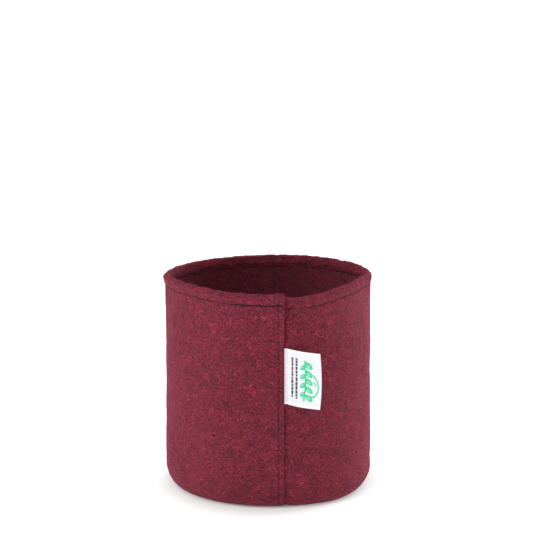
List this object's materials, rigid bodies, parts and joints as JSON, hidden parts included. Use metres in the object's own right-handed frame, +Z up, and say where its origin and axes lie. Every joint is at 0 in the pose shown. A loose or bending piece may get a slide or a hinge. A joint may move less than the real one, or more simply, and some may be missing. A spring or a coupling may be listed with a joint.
{
  "type": "fabric grow bag",
  "caption": "Round open-topped felt planting bag with a flat sewn-in base, a folded hem, a lapped side seam and a sewn-in label.",
  "frame": {"origin": "centre of the base's underside, where the bag stands", "axes": "+Z up along the bag's axis; the front, where the side seam and the label are, faces -Y; +X to the right seen from the front"},
  "size_m": [0.3064, 0.3237, 0.3189],
  "materials": {
    "felt": "needle-punched polyester felt, crimson and dark maroon fibres mixed, matt",
    "thread": "dark maroon polyester sewing thread",
    "label_satin": "white woven satin ribbon with a green and a dark print"
  },
  "bodies": {
    "bag": {"wall_panel": "felt", "base_panel": "felt", "hem_needle_thread": "thread", "hem_bobbin_thread": "thread", "side_seam_needle_thread": "thread", "side_seam_bobbin_thread": "thread", "base_seam_needle_thread": "thread", "base_seam_bobbin_thread": "thread", "label_tab": "label_satin"},
    "label": {"label_flap": "label_satin"}
  },
  "joints": [
    {"name": "label_swing", "type": "hinge", "parent": "bag", "child": "label", "pos_m": [0.02347, -0.14734, 0.19555], "axis": [0, 0, -1], "range_deg": [-34, 42]}
  ]
}
